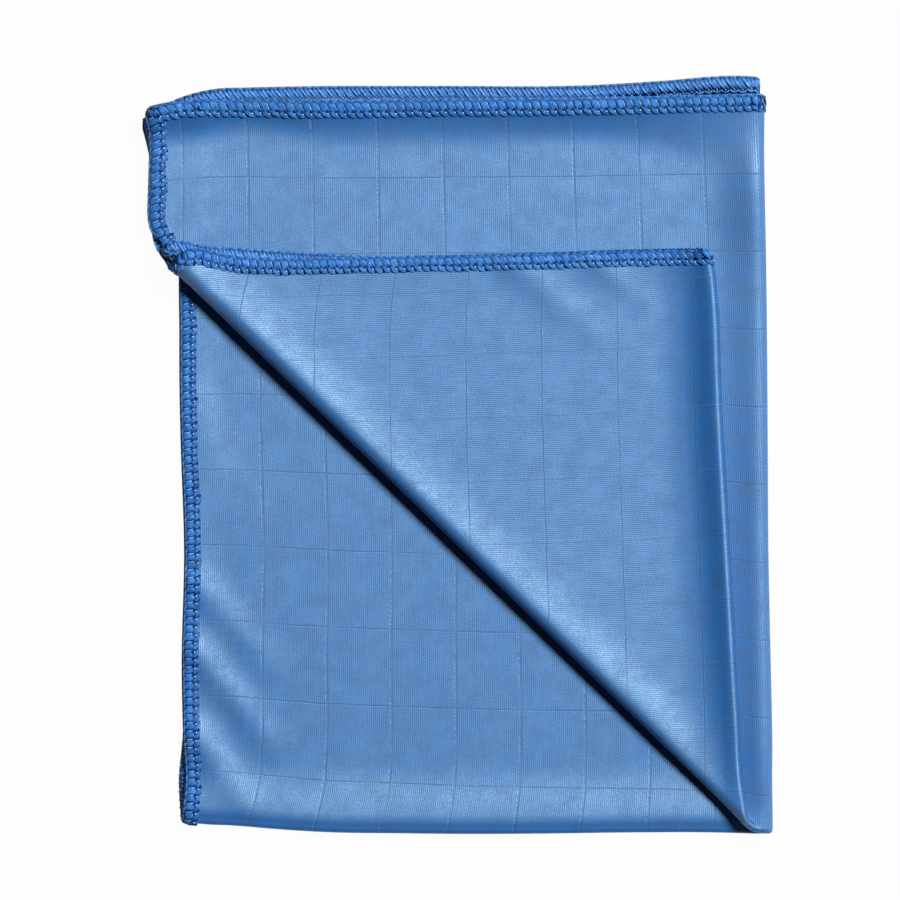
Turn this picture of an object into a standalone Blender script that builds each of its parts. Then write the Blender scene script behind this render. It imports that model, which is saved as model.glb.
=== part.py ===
"""Folded microfibre cleaning cloth: one sheet with a thick rounded hem."""
import bmesh
import bpy
import numpy as np

# All sizes in millimetres; the mesh is scaled to metres at the end.
MILLIMETRE = 0.001
SHEET = 1.0
HEM_ROUND = 4.0
LAYER_HALF_GAP = 0.77
HEM_HALF_GAP = 1.02
LAYER_PITCH = 1.5
HEM_PITCH = 2.0
HEM_LIFT = 0.3
HEM_SPREAD = (8.0, 24.0)

# Flat cut, measured from the second fold to the side hems and from the first fold to the end hems.
LOWER_WIDTH = 197.0
UPPER_WIDTH = 204.0
OUTER_LENGTH = 245.5
INNER_LENGTH = 250.5
RIGHT_NOMINAL = 104.0
BOTTOM_NOMINAL = -126.0

# Third fold: two points of the roll's outline, with the roll's radius at each end.
ROLL_FROM = (-77.83, 45.0)
ROLL_TO = (81.83, -110.0)
ROLL_RADIUS = ((-40.0, 3.6), (235.0, 2.2))
ROLL_SKIN = 1.2
FLAP_SETTLE = 24.0

# Hem thickness by distance from the cut edge.
HEM_PROFILE = (
    (0.0, 0.8),
    (0.7, 1.6),
    (4.7, 1.6),
    (5.6, SHEET),
)

# Height along the sheet, outline of the second fold, radius of the second fold.
RIGHT_EDGE = {
    "y": (-126.0, -97.0, -62.0, -32.0, 0.0, 60.0, 98.0, 126.0),
    "outline": (104.4, 104.5, 103.8, 103.2, 103.0, 102.5, 101.8, 101.5),
    "radius": (2.6, 2.5, 2.3, 2.2, 2.2, 2.2, 2.3, 2.4),
}

# Left edges of the four layers, from the bottom layer up.
LEFT_EDGE = {
    "y": (-124.0, -112.0, -98.0, -72.0, -32.0, 8.0, 32.0, 45.0, 62.0, 80.0, 98.0, 118.0),
    "lower_outer": (-92.6, -93.7, -93.7, -93.0, -92.3, -92.7, -92.8, -92.8, -92.8, -92.8, -92.8, -92.5),
    "lower_inner": (-92.6, -91.2, -91.8, -92.3, -91.5, -92.5, -92.8, -92.8, -92.8, -92.8, -92.8, -92.5),
    "upper_inner": (-96.5, -96.9, -97.0, -96.9, -97.2, -97.7, -98.2, -99.5, -101.6, -102.2, -102.2, -101.6),
    "upper_outer": (-96.5, -96.4, -96.3, -96.4, -96.9, -99.3, -101.5, -102.8, -103.6, -103.0, -102.5, -102.3),
}

# Sideways shift of the upper pair's left hem where it runs round the roll.
HEM_SHIFT = {
    "y": (45.0, 51.7, 58.3, 62.3, 65.0, 67.7, 70.7, 73.3, 76.7, 80.0, 84.0),
    "outer": (0.0, -0.4, -1.8, -1.6, 0.6, 3.4, 5.0, 3.8, 1.6, 0.5, 0.0),
    "inner": (0.0, -0.5, -1.2, 0.2, 2.6, 4.8, 5.2, 4.0, 2.0, 0.7, 0.0),
}
HEM_SHIFT_REACH = (8.0, 42.0)

# Creases of the first fold in the lower and the upper pair of layers.
CREASE = {
    "x": (-92.0, -76.0, -60.0, -45.0, -20.0, 0.0, 26.0, 58.0, 84.0, 92.0, 97.0, 104.0),
    "lower": (-122.7, -123.9, -125.0, -125.7, -126.1, -126.3, -126.2, -125.8, -125.8, -126.0, -126.0, -125.4),
    "upper": (-119.4, -120.3, -120.4, -120.6, -121.0, -121.6, -122.3, -123.0, -123.5, -124.4, -125.2, -125.4),
}

# Top edges of the four layers, from the bottom layer up.
TOP_EDGE = {
    "x": (-103.0, -96.0, -86.0, -76.0, -66.0, -43.0, -3.0, 47.0, 70.0, 94.0, 104.0),
    "lower_outer": (117.6, 117.6, 117.8, 118.0, 118.0, 118.2, 118.5, 119.0, 119.2, 119.5, 119.7),
    "lower_inner": (117.8, 117.8, 118.4, 119.5, 120.2, 121.0, 121.5, 122.2, 123.2, 125.4, 126.2),
    "upper_inner": (114.6, 116.4, 120.0, 122.0, 122.3, 122.8, 123.0, 123.4, 125.0, 126.6, 126.2),
    "upper_outer": (114.8, 116.7, 117.6, 118.0, 118.0, 117.5, 118.0, 118.5, 119.0, 119.5, 119.7),
}

# Soft ridges of the lower pair's upper layer: the two ends of each crest, its half width and its height.
RIDGES = (
    {"start": (-88.0, -38.0), "end": (-60.0, -76.0), "half_width": 7.0, "height": 1.3},
    {"start": (-88.0, -66.0), "end": (-56.0, -104.0), "half_width": 7.0, "height": 1.5},
    {"start": (-88.0, -92.0), "end": (-68.0, -116.0), "half_width": 6.0, "height": 1.2},
    {"start": (-88.0, 10.0), "end": (-60.0, -40.0), "half_width": 9.0, "height": 0.8},
)

# Lines of the flat grid, by distance from the folds and from the cut edges.
FOLD_LINES = (0.0, 0.95, 1.9, 2.85, 3.8, 9.0, 16.0)
CREASE_LINES = (0.0, 0.6, 1.2, 1.75, 2.4, 5.5, 11.0)
HEM_LINES = (0.7, 4.7, 5.6, 12.0, 18.0, 24.0)
OPEN_SPACING = 25.0
ROLL_STEPS = 7
RIDGE_LINES = 8.0

CLOTH_COLOUR = (0.118, 0.263, 0.546, 1.0)
CLOTH_ROUGHNESS = 0.95


def ease(t):
    t = np.clip(t, 0.0, 1.0)
    return t * t * (3.0 - 2.0 * t)


def curve(at, keys, values):
    # Smooth curve through a table's rows.
    keys = np.asarray(keys)
    values = np.asarray(values)
    slopes = np.gradient(values, keys)
    at = np.clip(at, keys[0], keys[-1])
    low = np.clip(np.searchsorted(keys, at) - 1, 0, len(keys) - 2)
    span = keys[low + 1] - keys[low]
    t = (at - keys[low]) / span
    rise = t * t * (3.0 - 2.0 * t)
    start = t * (1.0 - t) * (1.0 - t) * span * slopes[low]
    finish = t * t * (t - 1.0) * span * slopes[low + 1]
    return values[low] * (1.0 - rise) + values[low + 1] * rise + start + finish


def column(table, key, name, at):
    return curve(at, table[key], table[name])


def by_layer(u, v, table, key, at):
    # Picks each point's column of a table with one column a layer.
    lower = np.where(v >= 0.0, column(table, key, "lower_outer", at), column(table, key, "lower_inner", at))
    upper = np.where(v >= 0.0, column(table, key, "upper_outer", at), column(table, key, "upper_inner", at))
    return np.where(u < 0.0, lower, upper)


def edge_distance(u, v):
    # Distance from the cut edge of the flat sheet, whose corners are rounded.
    side = np.where(u < 0.0, LOWER_WIDTH, UPPER_WIDTH) - abs(u)
    end = np.where(v < 0.0, INNER_LENGTH, OUTER_LENGTH) - abs(v)
    corner = HEM_ROUND - np.hypot(HEM_ROUND - side, HEM_ROUND - end)
    return np.where((side < HEM_ROUND) & (end < HEM_ROUND), corner, np.minimum(side, end))


def hem_share(edge):
    # How much of the hem's extra height a layer carries at a distance from the cut edge.
    start, stop = HEM_SPREAD
    return 1.0 - ease((edge - start) / (stop - start))


def fold_radius(y):
    return column(RIGHT_EDGE, "y", "radius", y)


def fold_centre(y):
    return column(RIGHT_EDGE, "y", "outline", y) - ROLL_SKIN - fold_radius(y)


def crease_radius(u):
    return 1.3 + 0.2 * np.clip(u / 15.0, -1.0, 1.0)


def lower_state(x, y):
    # Hem share and half gap of the lower pair under a point.
    hem = hem_share(np.minimum(x + 93.0, 121.0 - y))
    crease = 1.0 - ease((y - column(CREASE, "x", "lower", x) - 2.2) / 12.0)
    return hem, LAYER_HALF_GAP + np.maximum((HEM_HALF_GAP - LAYER_HALF_GAP) * hem, 0.33 * crease)


def upper_half_gap(x, y):
    hem = hem_share(np.minimum(x + 102.0, 121.0 - y))
    crease = 1.0 - ease((y - column(CREASE, "x", "upper", x) - 2.9) / 8.0)
    return LAYER_HALF_GAP + np.maximum((HEM_HALF_GAP - LAYER_HALF_GAP) * hem, 0.73 * crease)


def ridge_height(x, y):
    # Height of the soft ridges of the lower pair's upper layer.
    total = np.zeros_like(x)
    for ridge in RIDGES:
        start = np.array(ridge["start"])
        run = np.array(ridge["end"]) - start
        share = np.clip(((x - start[0]) * run[0] + (y - start[1]) * run[1]) / run.dot(run), 0.0, 1.0)
        away = np.hypot(x - start[0] - share * run[0], y - start[1] - share * run[1])
        total += ridge["height"] * np.exp(-((away / ridge["half_width"]) ** 2)) * (1.0 - 0.75 * share)
    return total


def roll_axes():
    # A point on the roll's outline, the direction along it and the direction out over the lower-left corner.
    start = np.array(ROLL_FROM)
    along = np.array(ROLL_TO) - start
    along = along / np.linalg.norm(along)
    return start, along, np.array((along[1], -along[0]))


def turn_flap(x, y, half_gap, hem):
    # Third fold: bends the upper pair over the diagonal and lets the flap settle.
    start, along, across = roll_axes()
    run = (x - start[0]) * along[0] + (y - start[1]) * along[1]
    radius = np.interp(run, *zip(*ROLL_RADIUS))
    past = (x - start[0]) * across[0] + (y - start[1]) * across[1] + radius + ROLL_SKIN
    angle = np.clip(past / radius, 0.0, np.pi)
    after = np.maximum(past - np.pi * radius, 0.0)
    reach = np.where(past > 0.0, radius * np.sin(angle) - after, past) - radius - ROLL_SKIN
    new_x = start[0] + run * along[0] + reach * across[0]
    new_y = start[1] + run * along[1] + reach * across[1]
    rest = upper_half_gap(new_x, new_y) + LAYER_PITCH + 0.3 * hem + half_gap
    height = radius * (1.0 - np.cos(angle)) + (rest - 2.0 * radius) * ease(after / FLAP_SETTLE)
    return new_x, new_y, height


def upper_surface(u, x, y, half_gap, hem):
    # Middle surface of the upper pair.
    x, y, height = turn_flap(x, y, half_gap, hem)
    lower_hem, lower_gap = lower_state(x, y)
    near = 1.0 - ease(u / 20.0)
    lower_hem = lower_hem + (hem - lower_hem) * near
    lower_gap = lower_gap + (half_gap - lower_gap) * near
    base = 0.5 * SHEET + HEM_LIFT * lower_hem + lower_gap
    centre = fold_centre(y)
    radius = fold_radius(y)
    open_height = base + lower_gap + LAYER_PITCH + (HEM_PITCH - LAYER_PITCH) * lower_hem + upper_half_gap(x, y)
    open_height += (base + 2.0 * radius - open_height) * (1.0 - ease((centre - x) / 14.0))
    open_height -= 2.6 * ease((-94.0 - x) / 11.0)
    angle = np.maximum((x - centre) / radius, 0.0)
    bent_x = np.where(x < centre, x, centre + (radius + height) * np.sin(angle))
    bent_z = np.where(x < centre, open_height + height, base + radius + (radius + height) * np.cos(angle))
    return np.stack((bent_x, y, bent_z), axis=-1)


def unit(vectors):
    return vectors / np.linalg.norm(vectors, axis=-1, keepdims=True)


def place_upper(u, x, y, offset, half_gap, hem, turn, crease):
    # Layer points of the upper pair and the direction of the sheet's right side.
    step = 0.02
    here = upper_surface(u, x, y, half_gap, hem)
    in_x = upper_surface(u, x + step, y, half_gap, hem) - here
    in_y = upper_surface(u, x, y + step, half_gap, hem) - here
    normal = unit(np.cross(in_x, in_y))
    back = unit(in_y)
    return bend_crease(here, normal, back, offset, half_gap, turn, crease)


def bend_crease(here, normal, back, offset, half_gap, turn, crease):
    # First fold: the sheet turns over from one layer of the pair to the other.
    out = np.sin(turn)[:, None] * normal * offset[:, None] - np.cos(turn)[:, None] * back
    reach = np.where(turn < 0.5 * np.pi, crease, half_gap)
    return here + out * reach[:, None], out


def place_lower(u, v, x, y, offset, half_gap, hem, turn, crease, thickness):
    centre = fold_centre(y)
    radius = fold_radius(y)
    angle = np.clip((x - centre) / radius, 0.0, 0.5 * np.pi)
    base = 0.5 * SHEET + HEM_LIFT * hem + half_gap
    flat = 1.0 - angle / (0.5 * np.pi)
    middle_x = np.where(x < centre, x, centre + radius * np.sin(angle))
    middle_z = base + radius * (1.0 - np.cos(angle))
    middle_z += np.where(v >= 0.0, (0.5 * thickness - base + half_gap) * flat, 0.0)
    normal = np.stack((np.sin(angle), np.zeros_like(angle), -np.cos(angle)), axis=-1)
    back = np.zeros_like(normal)
    back[:, 1] = 1.0
    middle = np.stack((middle_x, y, middle_z), axis=-1)
    centres, out = bend_crease(middle, normal, back, offset, half_gap, turn, crease)
    centres[:, 2] += np.where(v < 0.0, ridge_height(x, y) * ease((y + 121.0) / 8.0), 0.0)
    return centres, out


def hem_shift(u, v, y, edge):
    # Pull of the roll on the upper pair's left hem, fading into the sheet.
    shift = np.where(v >= 0.0, column(HEM_SHIFT, "y", "outer", y), column(HEM_SHIFT, "y", "inner", y))
    start, stop = HEM_SHIFT_REACH
    return np.where(u > 0.0, shift * (1.0 - ease((edge - start) / (stop - start))), 0.0)


def spread(u, v):
    # Flat points laid out over the photo's plane, before the folds are bent.
    width = np.where(u < 0.0, LOWER_WIDTH, UPPER_WIDTH)
    length = np.where(v < 0.0, INNER_LENGTH, OUTER_LENGTH)
    flat_x = RIGHT_NOMINAL - abs(u)
    flat_y = BOTTOM_NOMINAL + abs(v)
    right = fold_centre(flat_y) + 0.5 * np.pi * fold_radius(flat_y)
    x = right + (by_layer(u, v, LEFT_EDGE, "y", flat_y) - right) * abs(u) / width
    x += hem_shift(u, v, flat_y, width - abs(u))
    crease = crease_radius(u)
    outline = np.where(u < 0.0, column(CREASE, "x", "lower", flat_x), column(CREASE, "x", "upper", flat_x))
    bottom = outline + 0.5 * SHEET + (1.0 - 0.5 * np.pi) * crease
    y = bottom + (by_layer(u, v, TOP_EDGE, "x", flat_x) - bottom) * abs(v) / length
    return x, y, bottom, crease


def place(u, v):
    # Folded place of flat points: sheet centre, direction of the right side, thickness.
    x, y, bottom, crease = spread(u, v)
    turn = np.clip((y - bottom) / crease, 0.0, 0.5 * np.pi)
    centre_y = bottom + 0.5 * np.pi * crease
    y = np.maximum(y, centre_y)
    edge = edge_distance(u, v)
    hem = hem_share(edge)
    settle = np.where(u < 0.0, 12.0, 8.0)
    open_crease = (crease - LAYER_HALF_GAP) * (1.0 - ease((y - centre_y) / settle))
    half_gap = LAYER_HALF_GAP + np.maximum((HEM_HALF_GAP - LAYER_HALF_GAP) * hem, open_crease)
    offset = np.where(v >= 0.0, 1.0, -1.0)
    thickness = np.interp(edge, *zip(*HEM_PROFILE))
    lower = place_lower(u, v, x, y, offset, half_gap, hem, turn, crease, thickness)
    upper = place_upper(u, x, y, offset, half_gap, hem, turn, crease)
    is_lower = (u < 0.0)[:, None]
    centres = np.where(is_lower, lower[0], upper[0])
    out = np.where(is_lower, lower[1], upper[1])
    return centres, out, thickness


def cut_line(flat, point, normal, faces=None, clear=False):
    geometry = list(flat.verts) + list(flat.edges) + list(flat.faces)
    if faces is not None:
        edges = {edge for face in faces for edge in face.edges}
        verts = {vert for face in faces for vert in face.verts}
        geometry = list(verts) + list(edges) + list(faces)
    bmesh.ops.bisect_plane(
        flat, geom=geometry, dist=1e-4, plane_co=(*point, 0.0), plane_no=(*normal, 0.0), clear_outer=clear
    )


def spaced(start, stop, spacing):
    steps = max(int(round((stop - start) / spacing)), 1)
    return [start + (stop - start) * step / steps for step in range(1, steps)]


def grid_lines(length, near):
    lines = list(near) + spaced(near[-1], length - HEM_LINES[-1], OPEN_SPACING)
    return lines + [length - line for line in HEM_LINES]


def flat_outline():
    # The flat cut with its four rounded corners.
    flat = bmesh.new()
    corners = (
        (-LOWER_WIDTH, -INNER_LENGTH),
        (UPPER_WIDTH, -INNER_LENGTH),
        (UPPER_WIDTH, OUTER_LENGTH),
        (-LOWER_WIDTH, OUTER_LENGTH),
    )
    flat.faces.new([flat.verts.new((u, v, 0.0)) for u, v in corners])
    for line in grid_lines(LOWER_WIDTH, FOLD_LINES):
        cut_line(flat, (-line, 0.0), (1.0, 0.0))
    for line in grid_lines(UPPER_WIDTH, FOLD_LINES):
        cut_line(flat, (line, 0.0), (1.0, 0.0))
    for line in grid_lines(OUTER_LENGTH, CREASE_LINES):
        cut_line(flat, (0.0, line), (0.0, 1.0))
    for line in grid_lines(INNER_LENGTH, CREASE_LINES):
        cut_line(flat, (0.0, -line), (0.0, 1.0))
    for u, v in corners:
        for degrees in (22.5, 45.0, 67.5):
            out = (np.sign(u) * np.cos(np.radians(degrees)), np.sign(v) * np.sin(np.radians(degrees)))
            middle = (u - np.sign(u) * HEM_ROUND, v - np.sign(v) * HEM_ROUND)
            point = (middle[0] + HEM_ROUND * out[0], middle[1] + HEM_ROUND * out[1])
            cut_line(flat, point, out, clear=True)
    return flat


def add_roll_lines(flat):
    # Lines along the roll, cut while the upper pair's cells lie as they do before the roll is bent.
    start, along, across = roll_axes()
    keep = flat.verts.layers.float_vector.new("flat")
    for vert in flat.verts:
        vert[keep] = vert.co
    points = np.array([vert.co[:2] for vert in flat.verts])
    laid = spread(points[:, 0], points[:, 1])
    for vert, x, y in zip(flat.verts, laid[0], laid[1]):
        vert.co = (x, y, 0.0)
    stations = [(step / ROLL_STEPS, 0.0) for step in range(ROLL_STEPS + 1)]
    stations += [(1.0, 5.0), (1.0, 10.0), (1.0, 17.0), (1.0, 24.0)]
    for share, beyond in stations:
        ends = []
        for run, radius in ROLL_RADIUS:
            past = share * np.pi * radius + beyond - radius - ROLL_SKIN
            ends.append(start + run * along + past * across)
        normal = (ends[1][1] - ends[0][1], ends[0][0] - ends[1][0])
        for layer in (1.0, -1.0):
            faces = [face for face in flat.faces if upper_face(face, keep, layer)]
            cut_line(flat, ends[0], normal, faces)
    for vert in flat.verts:
        vert.co = vert[keep]


def upper_face(face, keep, layer):
    corners = [vert[keep] for vert in face.verts]
    return sum(corner.x for corner in corners) > 0.0 and sum(corner.y for corner in corners) * layer > 0.0


def add_ridge_lines(flat):
    # Finer cells where the soft ridges run.
    for line in spaced(-LOWER_WIDTH + HEM_LINES[-1], -LOWER_WIDTH + 46.0, RIDGE_LINES):
        cut_line(flat, (line, 0.0), (1.0, 0.0), ridge_faces(flat))
    for line in spaced(-INNER_LENGTH * 0.5, -8.0, RIDGE_LINES):
        cut_line(flat, (0.0, line), (0.0, 1.0), ridge_faces(flat))


def ridge_faces(flat):
    found = []
    for face in flat.faces:
        middle = face.calc_center_median()
        if -LOWER_WIDTH + 5.0 < middle.x < -LOWER_WIDTH + 46.0 and -INNER_LENGTH * 0.5 < middle.y < -5.0:
            found.append(face)
    return found


def flat_grid():
    flat = flat_outline()
    add_roll_lines(flat)
    add_ridge_lines(flat)
    bmesh.ops.remove_doubles(flat, verts=flat.verts, dist=0.25)
    bmesh.ops.triangulate(flat, faces=flat.faces)
    flat.verts.index_update()
    points = np.array([(vert.co.x, vert.co.y) for vert in flat.verts])
    triangles = [tuple(vert.index for vert in face.verts) for face in flat.faces]
    rim = []
    for edge in flat.edges:
        if edge.is_boundary:
            loop = edge.link_loops[0]
            rim.append((loop.vert.index, loop.link_loop_next.vert.index))
    flat.free()
    return points, triangles, rim


def cloth_mesh():
    # Both faces of the folded sheet, joined round the cut edge.
    points, triangles, rim = flat_grid()
    centres, out, thickness = place(points[:, 0], points[:, 1])
    front = centres + 0.5 * thickness[:, None] * out
    rear = centres - 0.5 * thickness[:, None] * out
    count = len(points)
    corners = np.concatenate((front, rear))
    low, high = corners.min(axis=0), corners.max(axis=0)
    corners -= ((low[0] + high[0]) / 2.0, (low[1] + high[1]) / 2.0, low[2])
    faces = [(c, b, a) for a, b, c in triangles]
    faces += [(a + count, b + count, c + count) for a, b, c in triangles]
    for a, b in rim:
        faces += [(a, b, a + count), (b, b + count, a + count)]
    return corners * MILLIMETRE, faces


def cloth_material():
    material = bpy.data.materials.new("microfibre")
    material.use_nodes = True
    shader = material.node_tree.nodes["Principled BSDF"]
    shader.inputs["Base Color"].default_value = CLOTH_COLOUR
    shader.inputs["Roughness"].default_value = CLOTH_ROUGHNESS
    shader.inputs["Metallic"].default_value = 0.0
    return material


def build():
    for old in list(bpy.data.objects):
        bpy.data.objects.remove(old, do_unlink=True)
    corners, faces = cloth_mesh()
    mesh = bpy.data.meshes.new("cloth")
    mesh.from_pydata([tuple(corner) for corner in corners], [], faces)
    mesh.validate()
    mesh.update()
    cloth = bpy.data.objects.new("cloth", mesh)
    mesh.materials.append(cloth_material())
    bpy.context.scene.collection.objects.link(cloth)


build()
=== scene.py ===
import bmesh
import bpy
import numpy as np
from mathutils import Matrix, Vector


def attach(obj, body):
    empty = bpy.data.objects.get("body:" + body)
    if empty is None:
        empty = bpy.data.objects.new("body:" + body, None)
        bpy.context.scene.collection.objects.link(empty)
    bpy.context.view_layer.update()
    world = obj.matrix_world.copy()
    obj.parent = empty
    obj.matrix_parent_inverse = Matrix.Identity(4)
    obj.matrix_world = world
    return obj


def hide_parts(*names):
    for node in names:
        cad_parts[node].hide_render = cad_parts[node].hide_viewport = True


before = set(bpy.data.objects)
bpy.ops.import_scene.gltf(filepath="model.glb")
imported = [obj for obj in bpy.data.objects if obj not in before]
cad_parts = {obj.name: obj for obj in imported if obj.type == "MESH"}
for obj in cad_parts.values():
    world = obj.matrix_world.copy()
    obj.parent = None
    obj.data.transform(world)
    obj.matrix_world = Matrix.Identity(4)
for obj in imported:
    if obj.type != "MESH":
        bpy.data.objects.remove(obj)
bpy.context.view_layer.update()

print("stage: frame loaded")

millimetre = 0.001

# The cloth and its folds, in millimetres. Widths run from the second fold to the side hems,
# lengths from the first fold to the end hems.
cloth = {
    "lowerWidth": 197.0,
    "upperWidth": 204.0,
    "outerLength": 245.5,
    "innerLength": 250.5,
    "rightNominal": 104.0,
    "bottomNominal": -126.0,
    "topNominal": 121.0,
    "lowerLeft": -93.0,
    "upperLeft": -102.0,
    "cornerRound": 2.6,
    "solidSheet": 1.0,
    "halfGap": 0.77,
    "hemHalfGap": 1.02,
    "pitch": 1.5,
    "hemPitch": 2.0,
    "hemLift": 0.3,
    "centreShift": (1.0592, 0.1417),
}

# Thickness by distance from the cut edge: where the solid's middle runs, and what is shown.
solidProfile = ((0.0, 0.8), (0.7, 1.6), (4.7, 1.6), (5.6, 1.0))
shownProfile = (
    (0.0, 0.5), (0.25, 0.85), (0.7, 1.15), (1.6, 1.3),
    (3.9, 1.3), (4.6, 1.15), (5.3, 0.85), (6.0, 0.8),
)

# Third fold: two points of the roll's outline, with the roll's radius at each end.
roll = {
    "start": (-77.83, 45.0),
    "stop": (81.83, -110.0),
    "runs": (-40.0, 235.0),
    "radii": (3.6, 2.05),
    "skin": 1.2,
    "settleAt": (0.0, 3.0, 6.0, 9.0, 12.0, 16.0, 21.0, 30.0, 60.0),
    "settled": (0.0, 0.234, 0.428, 0.578, 0.679, 0.765, 0.834, 0.905, 1.0),
    "settleFrom": 0.5,
    "sink": 0.5,
    "sinkReach": 26.0,
}

# Right edge, where the second fold is: outline and radius, up along the sheet.
rightEdge = {
    "y": (-126.0, -97.0, -62.0, -32.0, 0.0, 60.0, 98.0, 126.0),
    "outline": (104.4, 104.5, 103.8, 103.2, 103.0, 102.5, 101.8, 101.5),
    "radius": (2.6, 2.5, 2.3, 2.2, 2.2, 2.2, 2.3, 2.4),
}

# Left edges of the four layers, from the bottom layer up.
leftEdge = {
    "y": (-124.0, -112.0, -98.0, -72.0, -32.0, 8.0, 32.0, 45.0, 62.0, 80.0, 98.0, 108.0, 114.0, 119.5),
    "lowerOuter": (
        -92.3, -92.9, -91.7, -91.1, -90.7, -92.4, -92.6,
        -92.6, -92.8, -92.8, -92.8, -92.8, -92.8, -92.5,
    ),
    "lowerInner": (
        -91.9, -90.8, -91.3, -91.8, -91.0, -92.2, -92.6,
        -92.6, -92.8, -92.8, -92.8, -92.8, -92.8, -92.5,
    ),
    "upperInner": (
        -96.9, -97.2, -97.4, -97.4, -97.6, -98.1, -98.5,
        -99.6, -101.6, -102.2, -102.3, -102.8, -103.8, -104.9,
    ),
    "upperOuter": (
        -96.5, -96.4, -96.3, -96.4, -96.9, -99.3, -101.5,
        -102.8, -103.6, -103.0, -102.4, -102.2, -102.6, -104.4,
    ),
}

# Sideways shift of the upper pair's left hem where it runs round the roll.
hemShift = {
    "y": (45.0, 51.7, 58.3, 62.3, 65.0, 67.7, 70.7, 73.3, 76.7, 80.0, 84.0),
    "outer": (0.0, -0.4, -1.8, -1.6, 0.6, 3.4, 5.0, 3.8, 1.6, 0.5, 0.0),
    "inner": (0.0, -0.5, -1.2, 0.2, 2.6, 4.8, 5.2, 4.0, 2.0, 0.7, 0.0),
    "reach": (8.0, 42.0),
}

# Bottom edge, where the first fold is: outlines of the lower and the upper pair of layers.
creaseLine = {
    "x": (
        -100.0, -97.0, -94.0, -91.0, -87.0, -76.0, -60.0, -45.0,
        -20.0, 0.0, 26.0, 58.0, 84.0, 92.0, 97.0, 104.0,
    ),
    "lower": (
        -119.5, -120.2, -121.2, -122.3, -122.9, -123.5, -124.8, -125.7,
        -126.1, -126.3, -126.2, -125.8, -125.8, -126.0, -126.2, -126.1,
    ),
    "upper": (
        -116.4, -118.0, -118.9, -119.3, -119.6, -120.0, -120.0, -120.1,
        -120.6, -121.1, -121.6, -122.2, -123.0, -124.2, -125.4, -126.1,
    ),
}

# Top edges of the four layers, from the bottom layer up.
topEdge = {
    "x": (-103.0, -96.0, -86.0, -76.0, -66.0, -43.0, -3.0, 47.0, 70.0, 94.0, 104.0),
    "lowerOuter": (117.6, 117.6, 117.8, 118.0, 118.0, 118.2, 118.5, 119.0, 119.2, 119.5, 119.7),
    "lowerInner": (117.8, 117.8, 118.2, 119.2, 119.9, 120.6, 121.0, 121.6, 122.4, 124.5, 125.4),
    "upperInner": (111.8, 114.8, 119.2, 121.5, 121.9, 122.4, 122.5, 122.7, 124.0, 125.7, 125.4),
    "upperOuter": (113.2, 115.9, 117.5, 118.0, 118.0, 117.5, 118.0, 118.5, 119.0, 119.5, 119.7),
}

# How far the sheet takes to come down from its end hems, by the place across the flat cut.
hemFall = {
    "across": (-197.0, 0.0, 20.0, 40.0, 70.0, 107.0, 147.0, 170.0, 190.0, 204.0),
    "reach": (16.0, 21.0, 22.0, 16.0, 14.2, 14.8, 13.8, 11.0, 12.0, 12.0),
    "start": 5.0,
    "sideReach": 15.0,
    "curve": 1.35,
}

# Crest of the first fold where the upper pair's crease lies open along the flap's right edge.
crest = {
    "across": (0.0, 25.0, 50.0, 110.0, 204.0),
    "radius": (1.05, 1.15, 1.4, 1.75, 1.8),
    "lowerRadius": 1.6,
    "lowerFade": 15.0,
    "lowerFrom": 2.2,
    "lowerReach": 20.0,
    "upperFrom": 2.9,
    "upperGap": 0.5,
    "upperGapReach": 8.0,
    "upperReach": 6.4,
    "upperCurve": 1.15,
    "rimDrop": 0.75,
    "rimReach": 3.4,
}

# Puffed folds: how high the top layer stands over its pair beside the flap's crease, beside the second
# fold and at the end hem.
puff = {
    "creaseAcross": (0.0, 14.0, 30.0, 55.0, 120.0, 190.0, 204.0),
    "creaseHeight": (0.1, 0.4, 1.3, 2.5, 2.8, 2.8, 2.4),
    "creaseFrom": 1.6,
    "creaseReach": 17.0,
    "foldY": (-126.0, -110.0, -80.0, -40.0, 60.0, 98.0, 106.0, 126.0),
    "foldHeight": (0.6, 2.0, 2.9, 3.0, 2.7, 2.9, 1.6, 0.8),
    "foldFrom": 1.0,
    "foldReach": 18.0,
    "hemAcross": (0.0, 10.0, 24.0, 40.0, 107.0, 160.0, 175.0, 190.0, 204.0),
    "hemHeight": (0.4, 0.7, 1.2, 1.2, 1.15, 1.0, 0.7, 3.0, 2.7),
    "hemCurve": 1.25,
}

# The rear hem at the right end of the top edge: how high it stands and where the rise starts, by the
# place across.
standing = {
    "across": (0.0, 3.0, 10.0, 30.0, 42.0, 52.0, 204.0),
    "height": (0.0, 0.4, 1.8, 1.8, 1.0, 0.0, 0.0),
    "start": (5.6, 5.6, 5.6, 5.2, 4.5, 4.0, 4.0),
    "reach": 2.6,
}

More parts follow.
